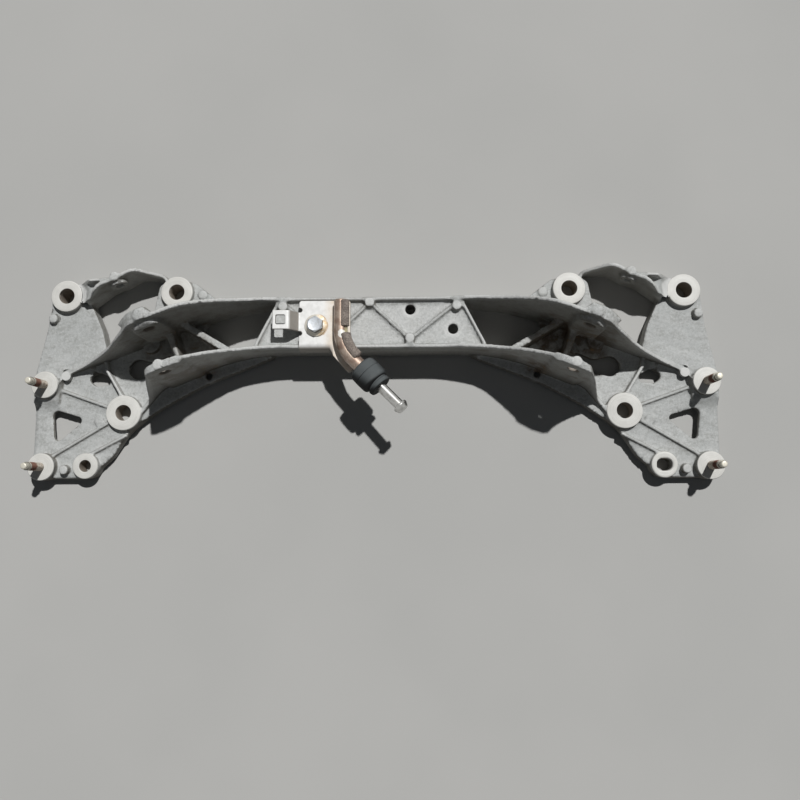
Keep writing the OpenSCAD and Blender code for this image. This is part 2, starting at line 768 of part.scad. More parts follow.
module along_leg(at, d, l) {
    translate([at, 0, 0])
        rotate([0, 90, 0])
            cylinder(d = d, h = l);
}

// Rod and weld run in section, with the run on the right of the rod
module rod_section(step = 0) {
    circle(d = rod_d - 2 * step);
    translate([bead_side, bead_up])
        circle(d = bead_d - 2 * step);
}

module hanger_rod() {
    start = bend_y + bend_back;
    rear = sheet_rear + rod_over;
    color("saddlebrown") {
        translate([rod_x, rear, rod_z])
            rotate([90, -leg_tilt, 0])
                linear_extrude(rear - start + merge)
                    rod_section();
        translate([rod_x, start, rod_z])
            rotate([0, -leg_tilt, 0])
                translate([bend_r, 0, 0])
                    rotate([0, 0, 180])
                        rotate_extrude(angle = bend_turn)
                            translate([bend_r, 0])
                                mirror([1, 0])
                                    rod_section(rod_step);
        bent_leg() {
            translate([bend_back - merge, 0, 0])
                rotate([90, 0, 90])
                    linear_extrude(rubber_at - bend_back)
                        rod_section();
            along_leg(bend_back - merge, rod_d, rod_end - bend_back + merge);
        }
    }
}

module hanger_rubber() {
    color("dimgray")
        bent_leg()
            difference() {
                union() {
                    along_leg(rubber_at, rubber_d, rubber_l);
                    along_leg(rubber_at, rubber_lip_d, rubber_l + rubber_lip_l);
                }
                along_leg(rubber_at - merge, rod_d + 2 * rubber_gap, rod_in + merge);
                along_leg(rubber_at, pin_d + 2 * rubber_gap, far);
            }
}

module hanger_pin() {
    color("lightgray")
        bent_leg() {
            along_leg(rod_end, pin_d, rubber_end + pin_l - rod_end);
            along_leg(rubber_end + pin_l - pin_head_l, pin_head_d, pin_head_l);
        }
}

crossmember();
stud_left_upper();
stud_left_lower();
stud_right_upper();
stud_right_lower();
hanger_bracket();
bracket_bolt();
hanger_rod();
hanger_rubber();
hanger_pin();
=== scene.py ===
import math

import bpy
import numpy as np
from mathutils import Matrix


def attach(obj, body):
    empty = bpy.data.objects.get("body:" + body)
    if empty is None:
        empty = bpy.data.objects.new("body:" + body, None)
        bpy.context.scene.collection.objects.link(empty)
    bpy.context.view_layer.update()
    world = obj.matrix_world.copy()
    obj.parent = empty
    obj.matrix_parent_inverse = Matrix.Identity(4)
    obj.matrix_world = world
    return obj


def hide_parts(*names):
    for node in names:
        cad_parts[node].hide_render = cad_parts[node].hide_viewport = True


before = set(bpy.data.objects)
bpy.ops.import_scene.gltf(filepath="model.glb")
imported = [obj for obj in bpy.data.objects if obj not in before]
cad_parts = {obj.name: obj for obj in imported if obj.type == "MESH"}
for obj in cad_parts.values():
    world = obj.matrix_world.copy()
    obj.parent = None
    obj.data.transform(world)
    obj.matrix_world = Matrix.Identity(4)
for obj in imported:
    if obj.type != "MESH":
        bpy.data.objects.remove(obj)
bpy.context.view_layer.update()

import openvdb
from mathutils import Matrix, Vector, noise

mm = 0.001
print("frame loaded:", len(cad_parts), "nodes")


# Shader building

class Wire:  # a shader socket that takes part in sums
    def __init__(self, graph, socket):
        self.graph = graph
        self.socket = socket

    def sum(self, operation, first, second):
        return self.graph.node("ShaderNodeMath", dict(operation=operation), {0: first, 1: second})

    def __add__(self, other):
        return self.sum("ADD", self, other)

    def __radd__(self, other):
        return self.sum("ADD", other, self)

    def __sub__(self, other):
        return self.sum("SUBTRACT", self, other)

    def __rsub__(self, other):
        return self.sum("SUBTRACT", other, self)

    def __mul__(self, other):
        return self.sum("MULTIPLY", self, other)

    def __rmul__(self, other):
        return self.sum("MULTIPLY", other, self)

    def __truediv__(self, other):
        return self.sum("DIVIDE", self, other)

    def __rtruediv__(self, other):
        return self.sum("DIVIDE", other, self)

    def __pow__(self, other):
        return self.sum("POWER", self, other)

    def __rpow__(self, other):
        return self.sum("POWER", other, self)

    def __or__(self, other):  # the stronger of two masks
        return self.sum("MAXIMUM", self, other)

    def __ror__(self, other):
        return self.sum("MAXIMUM", other, self)

    def __and__(self, other):  # the weaker of two
        return self.sum("MINIMUM", self, other)

    def __rand__(self, other):
        return self.sum("MINIMUM", other, self)

    def __abs__(self):
        return self.graph.node("ShaderNodeMath", dict(operation="ABSOLUTE"), {0: self})


class Graph:  # a node tree under construction
    def __init__(self, tree):
        self.tree = tree

    def node(self, kind, settings=None, sockets=None, out=0):
        made = self.tree.nodes.new(kind)
        for name, value in (settings or {}).items():
            setattr(made, name, value)
        for key, value in (sockets or {}).items():
            self.join(value, made.inputs[key])
        return Wire(self, made.outputs[out])

    def join(self, value, socket):
        if isinstance(value, Wire):
            self.tree.links.new(value.socket, socket)
        else:
            socket.default_value = value

    def ease(self, value, low, high):  # 0 below low, 1 above high
        return self.node("ShaderNodeMapRange", dict(interpolation_type="SMOOTHSTEP"),
                         {"Value": value, "From Min": low, "From Max": high})

    def band(self, value, low, high, soft):  # 1 between low and high
        return self.ease(value, low - soft, low) * (1 - self.ease(value, high, high + soft))

    def blend(self, mask, under, over):
        under, over = [(*c, 1) if isinstance(c, tuple) else c for c in (under, over)]
        return self.node("ShaderNodeMix", dict(data_type="RGBA"), {0: mask, 6: under, 7: over}, 2)


class Finish(Graph):  # one procedural material
    def __init__(self, name, **sockets):
        self.material = bpy.data.materials.new(name)
        self.material.use_nodes = True
        super().__init__(self.material.node_tree)
        self.shader = self.tree.nodes["Principled BSDF"]
        self.spot = self.node("ShaderNodeTexCoord", out="Object")
        self.set(**sockets)

    def set(self, **sockets):
        for name, value in sockets.items():
            self.join(value, self.shader.inputs[name.replace("_", " ")])

    def axes(self, place=None):
        place = place or self.spot
        return [self.node("ShaderNodeSeparateXYZ", sockets={0: place}, out=axis) for axis in range(3)]

    def facing(self):  # the way a face looks, 1 along an axis and -1 against it
        return self.axes(self.node("ShaderNodeNewGeometry", out="Normal"))

    def level(self):  # 1 on faces that look straight up or down, 0 on upright ones
        return abs(self.facing()[2])

    def upward(self):  # 1 on faces that look up, -1 on those that look down
        return self.facing()[2]

    def southward(self):  # 1 on faces that look to the front
        return 0 - self.facing()[1]

    def noise(self, size, detail=2.0, rough=0.5, place=None):  # size is that of the lumps in metres
        return self.node("ShaderNodeTexNoise", sockets={
            "Vector": place or self.spot, "Scale": 1 / size, "Detail": detail, "Roughness": rough})

    def rings(self, radius, pitch):  # turning marks round an axis
        return self.node("ShaderNodeTexNoise", dict(noise_dimensions="1D"),
                         {"W": radius, "Scale": 1 / pitch, "Detail": 2.0})

    def stretch(self, scale):  # the place scaled along each axis
        return self.node("ShaderNodeVectorMath", dict(operation="MULTIPLY"), {0: self.spot, 1: scale})

    def cavity(self, reach):  # 1 deep in corners, 0 in the open
        return 1 - self.node("ShaderNodeAmbientOcclusion", dict(samples=8), {"Distance": reach}, "AO")

    def thin(self, reach):  # 1 on edges and on the tops of thin walls
        return 1 - self.node("ShaderNodeAmbientOcclusion", dict(samples=8, inside=True, only_local=True),
                             {"Distance": reach}, "AO")

    def bump(self, height, depth, strength=1.0):
        self.set(Normal=self.node("ShaderNodeBump", sockets={
            "Height": height, "Distance": depth, "Strength": strength}))


def planAway(x, y, at):  # distance in plan from a place in millimetres
    return ((x - at[0] * mm) ** 2 + (y - at[1] * mm) ** 2) ** 0.5


# Mesh building

def addPiece(name, points, faces, finish, node=None, crease=35):
    mesh = bpy.data.meshes.new(name)
    mesh.from_pydata([tuple(p) for p in points], [], [tuple(f) for f in faces])
    mesh.validate()
    mesh.update()
    mesh.materials.append(finish.material)
    mesh.shade_smooth()
    if crease:
        mesh.set_sharp_from_angle(angle=math.radians(crease))
    piece = bpy.data.objects.new(name, mesh)
    bpy.context.scene.collection.objects.link(piece)
    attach(piece, "root")
    if node:
        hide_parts(node)
    return piece


def softCorners(corners, steps=4):  # corners are (x, y, radius)
    line = [Vector(corners[0][:2])]
    for before, at, after in zip(corners, corners[1:], corners[2:]):
        here = Vector(at[:2])
        radius = at[2] if len(at) > 2 else 0
        if not radius:
            line.append(here)
            continue
        back = (Vector(before[:2]) - here).normalized()
        on = (Vector(after[:2]) - here).normalized()
        half = back.angle(on) / 2
        reach = radius / math.tan(half)
        first = here + back * reach
        last = here + on * reach
        centre = here + (back + on).normalized() * radius / math.sin(half)
        for i in range(steps + 1):
            mid = first.lerp(last, i / steps)
            line.append(centre + (mid - centre).normalized() * radius)
    line.append(Vector(corners[-1][:2]))
    return line


def circle(steps):
    return [2 * math.pi * j / steps for j in range(steps)]


def grid(rings, caps=True):  # quads between rings of points, closed at both ends where caps are wanted
    count = len(rings[0])
    points = [p for ring in rings for p in ring]
    faces = []
    for i in range(len(rings) - 1):
        for j in range(count):
            k = (j + 1) % count
            faces.append((i * count + j, i * count + k, (i + 1) * count + k, (i + 1) * count + j))
    if caps:
        faces.append(tuple(range(count - 1, -1, -1)))
        faces.append(tuple(range((len(rings) - 1) * count, len(rings) * count)))
    return points, faces


def ringAt(place, radius, height, steps):
    return [
        place @ Vector((radius * math.cos(a), radius * math.sin(a), height)) * mm
        for a in circle(steps)]


def lathe(profile, place, steps=96, caps=True):  # profile is (radius, height) along the axis
    return grid([ringAt(place, radius, height, steps) for radius, height in profile], caps)


def joined(points, faces, more, quads):  # one mesh of two
    first = len(points)
    points = np.vstack([points, np.array([tuple(p) for p in more])])
    return points, faces + [tuple(first + i for i in quad) for quad in quads]


def levelSet(points, triangles, quads, voxel, reach):
    return openvdb.FloatGrid.createLevelSetFromPolygons(
        np.ascontiguousarray(points, np.float32),
        triangles=np.ascontiguousarray(triangles, np.uint32),
        quads=np.ascontiguousarray(quads, np.uint32),
        transform=openvdb.createLinearTransform(voxelSize=voxel),
        halfWidth=reach / voxel + 3)


def nodeMesh(node):  # points and triangles of a node of the frame
    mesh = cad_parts[node].data
    mesh.calc_loop_triangles()
    points = np.zeros(len(mesh.vertices) * 3, np.float32)
    mesh.vertices.foreach_get("co", points)
    triangles = np.zeros(len(mesh.loop_triangles) * 3, np.int32)
    mesh.loop_triangles.foreach_get("vertices", triangles)
    return points.reshape(-1, 3), triangles.reshape(-1, 3)


def softened(points, triangles, look):
    # fillets of radius hollow in the corners, then rounds of radius edge on the edges
    voxel, hollow, edge = [look[key] * mm for key in ("voxel", "hollow", "edge")]
    noQuads = np.zeros((0, 4), np.uint32)
    noTriangles = np.zeros((0, 3), np.uint32)
    low = points.min(axis=0)
    high = points.max(axis=0)
    solid = levelSet(points, triangles, noQuads, voxel, hollow)
    points, quads = solid.convertToQuads(hollow)
    grown = levelSet(points, noTriangles, quads, voxel, hollow + edge)
    points, quads = grown.convertToQuads(-hollow - edge)
    shrunk = levelSet(points, noTriangles, quads, voxel, edge)
    points, triangles, quads = shrunk.convertToPolygons(edge, look["adaptivity"])
    faces = [tuple(reversed(f)) for f in triangles.tolist() + quads.tolist()]
    print("softened:", len(triangles) + 2 * len(quads), "triangles")
    return np.clip(points, low, high), faces


def weighNormals(piece):
    weigh = piece.modifiers.new("normals", "WEIGHTED_NORMAL")
    weigh.mode = "FACE_AREA"
    weigh.weight = 60
    weigh.keep_sharp = False


# Casting

casting = dict(
    voxel=0.85, hollow=1.5, edge=0.55, adaptivity=0.35,
    faces=[  # machined faces as x, y, radius, height and radius of the hole, the same on both sides
        (366, 94, 19, 28, 9.25), (233, 97.5, 19, 28, 9.25), (294, -46.5, 20.75, 22, 9.25),
        (337.5, -109, 15, 20.5, 7), (388, -13, 16, 27, 0), (389, -110, 16, 24, 0)],
    bevel=0.9, proud=0.04, rimDeep=3, boreDeep=7, boreBevel=0.6, middle=0.4,
    oblong=(337.5, -109), oblongRim=4,
    nodePads=[(0, 76), (99.7, 71.6), (-99.7, 71.6), (46, 34.4), (-46, 34.4)],
    padRadius=5.5, padTop=56.3, padFoot=48, padRound=0.6, padSteps=48,
    pads=[  # places and brightness of the pads, the same on both sides
        (0, 76, 0.7), (99.7, 71.6, 0.7), (46, 34.4, 0.7), (203, 95.5, 0.4), (382, 67, 0.3),
        (364.7, -2.2, 0.1), (362.2, -113.5, 0.3), (324.5, -56.5, 0.1), (300.2, 111.5, 0.4),
        (222.5, -3.5, 0.7)],
    near=0.6,  # corners of the solid this close to a level are moved
    stepY=-40, stepX=370, stepOver=19, stepRun=8.5,  # the step beside the upper stud is a ramp
    strutX=(205, 246), strutY=(2, 60), strutTop=35, strutRise=13,  # the short strut rises into the light
    # the arch falls towards the outer boss, and its foot stays under the turned face
    outer=(366, 94), outerFace=28, outerClear=22.5, outerSlope=1.25, outerReach=40,
    outerRim=19.2, outerUnder=0.8,
    # the rear wall in plan beyond the ear, the share of its height it keeps, and its shift to the rear
    wallX=(245, 261.6, 283, 312, 388), wallY=(47, 40.6, 24, 13, -13), wallHalf=6,
    fallX=(258, 284, 303, 330, 345, 361, 392), fallShift=(0, 7, 6.5, 6.5, 6.3, 6, 0),
    fallKeep=(1, 0.92, 0.76, 0.5, 0.3, 0, 0), fallFoot=22, fallFrom=250, fallEase=4,
    fallSpan=(240, 400), fallSmooth=9, fallPad=(364.7, -2.2, 22.2), fallPadDeep=8,
    plateTop=14.3, plateEase=1.2, bankReach=16, bankEase=12,
    studBoss=(388, -13, 17), studFace=26.9, studClear=0.5,
    earAt=(223.5, -7), earTurn=21.5, earBolt=87, earHole=7.2,
    earBack=10.6, earThick=14, earFoot=24, earFrom=-20, earTaper=(-13, -6.5), earLeast=0.03,
    columnAt=50, columnTop=98.5, columnSlope=1.9, columnHalf=19, columnDeep=(-1, 6),
    pocketX=(190, 268), pocketY=(2, 56), pocketZ=(30, 75),
    # upright is the painted shade of the walls and also the colour of the dark sand specks; worn is the
    # pale specks and the edges, lighter as wear and as painted highlight; bore is painted shade in the
    # holes
    skin=(0.40, 0.41, 0.40), pale=(0.47, 0.477, 0.465), dull=(0.30, 0.305, 0.29),
    upright=(0.20, 0.195, 0.175), worn=(0.64, 0.64, 0.62), paintedShade=(0.07, 0.063, 0.052),
    brown=(0.13, 0.105, 0.08), stain=(0.085, 0.058, 0.036), gold=(0.26, 0.17, 0.075),
    cut=(0.71, 0.70, 0.66), cutDull=(0.56, 0.55, 0.515), bore=(0.26, 0.22, 0.18),
)
earWay = (math.cos(math.radians(casting["earTurn"])), -math.sin(math.radians(casting["earTurn"])))
boltWay = (-earWay[1], earWay[0])


def earPlace(side, y):  # a place along the ear and behind the face of its column
    x = side - casting["earAt"][0]
    y = y - casting["earAt"][1]
    return x * earWay[0] + y * earWay[1], x * boltWay[0] + y * boltWay[1] - casting["columnAt"]


def addPads(points, triangles):  # round ejector pads on the corners of the zigzag
    steps = casting["padSteps"]
    for x, y in casting["nodePads"]:
        first = len(points)
        rings = []
        for height in (casting["padFoot"], casting["padTop"]):
            rings += [(x, y, height)]
            rings += [
                (x + casting["padRadius"] * math.cos(a), y + casting["padRadius"] * math.sin(a), height)
                for a in circle(steps)]
        points = np.vstack([points, np.array(rings, np.float32) * mm])
        top = first + steps + 1
        added = []
        for j in range(steps):
            here = 1 + j
            on = 1 + (j + 1) % steps
            added += [(first, first + on, first + here), (top, top + here, top + on)]
            added += [(first + here, first + on, top + on), (first + here, top + on, top + here)]
        triangles = np.vstack([triangles, np.array(added, np.int32)])
    return points, triangles


def moveCorners(points):  # the step becomes a ramp, and the short strut rises
    x, y, z = (points / mm).T
    near = casting["near"]
    step = (abs(x) > casting["stepX"]) & (abs(y - casting["stepY"]) < near) & (z > casting["stepOver"])
    points[step, 1] += casting["stepRun"] * mm
    left, right = casting["strutX"]
    front, back = casting["strutY"]
    strut = (abs(x) > left) & (abs(x) < right) & (y > front) & (y < back)
    strut = strut & (abs(z - casting["strutTop"]) < near)
    points[strut, 2] += casting["strutRise"] * mm
    return points


def easeFall(points):  # the rear wall falls to the plate before it reaches the upper stud
    spans = np.arange(*casting["fallSpan"])
    width = casting["fallSmooth"]

    def along(values):  # values at fallX, smoothed and read at every point
        line = np.pad(np.interp(spans, casting["fallX"], values), width // 2, mode="edge")
        return np.interp(side, spans, np.convolve(line, np.ones(width) / width, mode="valid"))

    x, y, z = (points / mm).T
    side = abs(x)
    off = y - np.interp(side, casting["wallX"], casting["wallY"])
    bossX, bossY, bossR = casting["studBoss"]
    away = np.hypot(side - bossX, y - bossY) - bossR
    beyond = side > casting["fallFrom"]
    free = np.clip(away / casting["fallEase"], 0, 1) * beyond
    wall = (abs(off) < casting["wallHalf"]) & (z > casting["fallFoot"]) & beyond
    drop = (z - casting["fallFoot"]) * (1 - along(casting["fallKeep"]))
    # the low plate keeps its windows
    over = np.clip((z - casting["plateTop"]) / casting["plateEase"], 0, 1)
    bank = np.clip((casting["bankReach"] - off) / casting["bankEase"], 0, 1)
    near = np.where(off > 0, bank, (off > -casting["wallHalf"]) * over)
    points[:, 2] -= np.where(wall, drop * np.clip(away + 1, 0, 1), 0) * mm
    points[:, 1] += near * free * along(casting["fallShift"]) * mm
    return points


def addTurned(points, faces):  # the pads where the wall ends, and the turned rings on the bosses
    padX, padY, padTop = casting["fallPad"]
    wide = casting["padRadius"]
    middle = casting["middle"]
    pad = softCorners([
        (wide, padTop - casting["fallPadDeep"]), (wide, padTop, casting["padRound"]), (middle, padTop)])
    bevel = casting["bevel"]
    inside = casting["boreBevel"]
    for side in (-1, 1):
        place = Matrix.Translation((side * padX, padY, 0))
        points, faces = joined(points, faces, *lathe(pad, place, casting["padSteps"]))
        for x, y, radius, height, hole in casting["faces"]:
            top = height + casting["proud"]
            foot = top - casting["rimDeep"]
            inner = hole - casting["proud"]
            if (side * x, y) == casting["oblong"]:
                inner = radius - casting["oblongRim"]
            rim = [(radius, foot), (radius, top - bevel), (radius - bevel, top)]
            lip = [(inner + inside, top), (inner, top - inside), (inner, top - casting["boreDeep"]), rim[0]]
            ring = rim + lip if hole else rim + [(middle, top)]
            place = Matrix.Translation((side * x, y, 0))
            points, faces = joined(points, faces, *lathe(ring, place, caps=not hole))
    return points, faces


def taperEar(points):  # the thick back of the rear ear grows out of the wall
    x, y, z = (points / mm).T
    along, deep = earPlace(abs(x), y)
    start, full = casting["earTaper"]
    grow = np.clip((along - start) / (full - start), casting["earLeast"], 1)
    thick = deep - casting["earBack"]
    back = (thick > 0) & (thick < casting["earThick"])
    back = back & (along > casting["earFrom"]) & (z > casting["earFoot"])
    pull = np.where(back, thick * (grow - 1), 0) * mm
    points[:, 0] += np.sign(x) * pull * boltWay[0]
    points[:, 1] += pull * boltWay[1]
    return points


def trimTops(points):  # the arch's end, the stud's face and the ear's column
    x, y, z = (points / mm).T
    side = abs(x)
    outX, outY = casting["outer"]
    away = np.hypot(side - outX, y - outY)
    limit = casting["outerFace"] + np.maximum(0, away - casting["outerClear"]) * casting["outerSlope"]
    limit = limit - (away > casting["outerRim"]) * casting["outerUnder"]
    z = np.where(away < casting["outerReach"], np.minimum(z, limit), z)
    bossX, bossY, bossR = casting["studBoss"]  # nothing stands on the face of the upper stud
    boss = np.hypot(side - bossX, y - bossY) < bossR + casting["studClear"]
    z = np.where(boss, np.minimum(z, casting["studFace"]), z)
    along, deep = earPlace(side, y)  # the column on the rear ear slopes back at its top
    near, far = casting["columnDeep"]
    column = (abs(along) < casting["columnHalf"]) & (deep > near) & (deep < far)
    roof = casting["columnTop"] + np.maximum(deep, 0) * casting["columnSlope"]
    z = np.where(column, np.minimum(z, roof), z)
    points[:, 2] = z * mm
    return points


def castSkin():
    f = Finish("cast_aluminium", Specular_IOR_Level=0.35)
    x, y, z = f.axes()
    side = abs(x)
    grain = f.noise(0.8 * mm, 3)
    speck = f.noise(2.4 * mm, 3, 0.6)
    mottle = f.noise(12 * mm, 4, 0.6)
    cloud = f.noise(80 * mm, 3)
    flow = f.noise(6 * mm, 3, 0.55, f.stretch((0.35, 1.0, 1.0)))  # lines left as the metal filled the die
    colour = f.blend(f.ease(cloud * 0.6 + mottle * 0.4, 0.38, 0.62), casting["skin"], casting["pale"])
    dull = f.ease(mottle * 0.35 + speck * 0.35 + flow * 0.3, 0.46, 0.62)
    colour = f.blend(dull * 0.75, colour, casting["dull"])
    sand = f.noise(3.2 * mm, 4, 0.75) * 0.7 + grain * 0.3
    web = 0.26 + 0.24 * f.ease(z, 35 * mm, 45 * mm)  # the web is rougher than the wings
    colour = f.blend(f.ease(sand, 0.51, 0.62) * web, colour, casting["upright"])
    colour = f.blend((1 - f.ease(sand, 0.38, 0.49)) * web, colour, casting["worn"])
    # painted shade: upright faces darker than level ones, unevenly
    upright = 1 - f.ease(f.level(), 0.35, 0.85)
    colour = f.blend(upright * (0.7 + (mottle - 0.5) * 0.6), colour, casting["upright"])
    rusty = f.ease(cloud * 0.5 + mottle * 0.5, 0.48, 0.62)
    colour = f.blend(upright * rusty * 0.42, colour, casting["brown"])
    # painted shade: faces that look to the front darker towards the foot of the walls
    low = 1 - f.ease(z + (mottle - 0.5) * 30 * mm, 12 * mm, 52 * mm)
    front = f.ease(f.southward(), 0.3, 0.7) * (1 - f.ease(y, 30 * mm, 36 * mm))
    colour = f.blend(upright * low * front * 0.85, colour, casting["paintedShade"])
    # rubbed edges, wall tops and pads, lighter as wear and partly as a painted highlight
    edgeWearAndHighlight = f.ease(f.thin(6 * mm) + (speck - 0.5) * 0.4, 0.30, 0.66) * (1 - upright * 0.45)
    for px, py, bright in casting["pads"]:
        away = planAway(side, y, (px, py))
        edgeWearAndHighlight = edgeWearAndHighlight | (1 - f.ease(away, 5.0 * mm, 5.4 * mm)) * (1 - upright) * bright
    colour = f.blend(edgeWearAndHighlight * 0.8, colour, casting["worn"])
    # painted shade in corners and creases, broken by mottling
    paintedCornerShade = f.ease(f.cavity(14 * mm) * 0.8 + mottle * 0.3, 0.38, 0.98) * 0.62
    paintedCornerShade = paintedCornerShade | f.ease(f.cavity(3.5 * mm) + (speck - 0.5) * 0.3, 0.22, 0.65) * 0.7
    colour = f.blend(paintedCornerShade, colour, casting["paintedShade"])
    # brown water stain between the ears, with golden patches
    (left, right), (near, far), (foot, top) = [casting[key] for key in ("pocketX", "pocketY", "pocketZ")]
    pocket = f.band(side, left * mm, right * mm, 16 * mm) * f.band(y, near * mm, far * mm, 10 * mm)
    pocket = pocket * (1 - f.ease(z, foot * mm, top * mm))
    blot = f.ease(mottle * 0.6 + cloud * 0.4, 0.38, 0.56) * (0.5 + 0.5 * f.ease(x, -50 * mm, 50 * mm))
    colour = f.blend(pocket * blot * 0.9, colour, casting["stain"])
    colour = f.blend(pocket * f.ease(flow * 0.5 + mottle * 0.5, 0.56, 0.66) * 0.8, colour, casting["gold"])
    # turned faces, and painted shade in the drilled bores and in the ear's bolt hole
    earX, earY = casting["earAt"]
    across = (side - earX * mm) * earWay[0] + (y - earY * mm) * earWay[1]
    axis = (across ** 2 + (z - casting["earBolt"] * mm) ** 2) ** 0.5
    bore = 1 - f.ease(axis, (casting["earHole"] - 0.3) * mm, (casting["earHole"] + 0.3) * mm)
    face = nearest = None
    for px, py, radius, height, hole in casting["faces"]:
        away = planAway(side, y, (px, py))
        inside = 1 - f.ease(away, radius * mm, (radius + 0.5) * mm)
        turned = inside * f.ease(z, (height - 1.9) * mm, (height - 1.4) * mm)
        face = face | turned if face else turned
        nearest = nearest & away if nearest else away
        if hole:
            drilled = 1 - f.ease(away, (hole + 0.2) * mm, (hole + 0.8) * mm)
            bore = bore | drilled * (1 - f.ease(z, (height - 1.6) * mm, (height - 0.8) * mm))
    lines = f.rings(nearest, 0.45 * mm)
    tone = f.noise(160 * mm, 2)
    scuffed = f.ease(lines * 0.5 + mottle * 0.25 + tone * 0.25, 0.43, 0.60)
    colour = f.blend(face, colour, f.blend(scuffed, casting["cut"], casting["cutDull"]))
    # painted shade inside the bores
    colour = f.blend(bore * 0.85, colour, casting["bore"])
    f.set(Base_Color=colour, Roughness=0.62 - face * 0.06 - edgeWearAndHighlight * 0.1 + (grain - 0.5) * 0.2)
    rough = (grain * 0.4 + speck * 0.5 + mottle * 0.7 + flow * 0.35) * (1 - face * 0.9)
    f.bump(rough + lines * face * 0.25, 0.6 * mm, 0.9)
    return f


points, triangles = addPads(*nodeMesh("crossmember"))
points, faces = softened(moveCorners(points), triangles, casting)
points, faces = addTurned(trimTops(taperEar(easeFall(points))), faces)
piece = addPiece("casting", points, faces, castSkin(), "crossmember", crease=0)
weighNormals(piece)
print("casting done")


# Studs

stud = dict(
    across=10.0, core=8.7, pitch=1.5, pilot=7.6, pilotLength=7.0, showing=38.0, groove=6.9, grooveAt=28.6,
    threadEnd=27, runIn=1.0, runOut=1.2, grooveHalf=0.5, steps=40, perPitch=8, lowFace=24, highFace=27,
    places={
        "stud_left_upper": (-388, -13, 27), "stud_left_lower": (-389, -110, 24),
        "stud_right_upper": (388, -13, 27), "stud_right_lower": (389, -110, 24)},
    shank=(0.50, 0.45, 0.38), rust=(0.15, 0.058, 0.036), umber=(0.10, 0.06, 0.042),
    tip=(0.66, 0.63, 0.54), grooveShade=(0.02, 0.017, 0.014),
)


def studSteel():
    f = Finish("stud_steel", Specular_IOR_Level=0.4)
    _, y, z = f.axes()
    low = stud["lowFace"] * mm
    high = stud["highFace"] * mm
    face = low + (high - low) * f.ease(y, -80 * mm, -50 * mm)
    up = (z - face) / mm  # height above the face in millimetres
    end = stud["threadEnd"]
    wear = f.noise(2.5 * mm, 4, 0.6)
    fine = f.noise(0.6 * mm, 2)
    ragged = up + (wear - 0.5) * 6
    rust = f.ease(ragged, 13, 18) * (1 - f.ease(up + (wear - 0.5) * 2, end - 0.5, end + 0.5))
    groove = f.band(up, stud["grooveAt"] - 0.4, stud["grooveAt"] + 0.5, 0.3)
    colour = f.blend(f.ease(wear, 0.42, 0.68) * 0.7, stud["shank"], stud["umber"])
    colour = f.blend(rust * 0.92, colour, stud["rust"])
    colour = f.blend(f.ease(up, end, end + 0.8), colour, stud["tip"])
    colour = f.blend(f.ease(up, 30, 31) * f.ease(wear, 0.5, 0.7) * 0.5, colour, stud["shank"])
    # painted shade in the groove and at the step below the pilot
    colour = f.blend(groove | f.band(up, 30.6, 31.1, 0.3) * 0.8, colour, stud["grooveShade"])
    f.set(Base_Color=colour, Roughness=0.45 + rust * 0.3 + (fine - 0.5) * 0.2, Metallic=0.35 - rust * 0.35)
    f.bump(fine * 0.4 + wear * 0.6 * rust, 0.25 * mm)
    return f


def threaded(place):
    length = stud["showing"] - stud["pilotLength"]
    rows = int(length / stud["pitch"] * stud["perPitch"])
    depth = (stud["across"] - stud["core"]) / 2
    end = stud["threadEnd"]
    rings = []
    for i in range(rows + 1):
        height = length * i / rows
        # the thread runs out at both ends
        ends = max(0, min(1, height / stud["runIn"], (end - height) / stud["runOut"]))
        plain = stud["across"] / 2 - 0.2 if height > end else stud["core"] / 2
        if abs(height - stud["grooveAt"]) < stud["grooveHalf"]:
            plain = stud["groove"] / 2
        ring = []
        for angle in circle(stud["steps"]):
            phase = (height / stud["pitch"] - angle / 2 / math.pi) % 1
            crest = max(0, 1 - abs(phase - 0.5) * 2.2)
            radius = plain + depth * min(1, crest * 1.3) * ends
            ring.append(place @ Vector((radius * math.cos(angle), radius * math.sin(angle), height)) * mm)
        rings.append(ring)
    pilot = stud["pilot"] / 2
    tip = softCorners([(pilot, length + 0.2), (pilot, stud["showing"], 1.6), (0.6, stud["showing"])])
    rings += [ringAt(place, radius, height, stud["steps"]) for radius, height in tip]
    return grid(rings)


studFinish = studSteel()
for name, at in stud["places"].items():
    points, faces = threaded(Matrix.Translation(at))
    addPiece(name + "_thread", points, faces, studFinish, name)
print("studs done")


# Hanger bracket and its bolt

bracket = dict(
    voxel=0.45, hollow=0.6, edge=0.4, adaptivity=0.0, rodX=-31.5, boltAt=(-61, 48.5),
    lipX=(-81, -46), lipStart=27.6, top=58.5, lipRound=6.8, lipLean=72, lipPast=1.2, lipFade=5,
    zinc=(0.80, 0.795, 0.775), worn=(0.71, 0.705, 0.685), heat=(0.70, 0.60, 0.48),
    grime=(0.16, 0.14, 0.115), upright=(0.24, 0.215, 0.185), ringStain=(0.50, 0.34, 0.18),
)


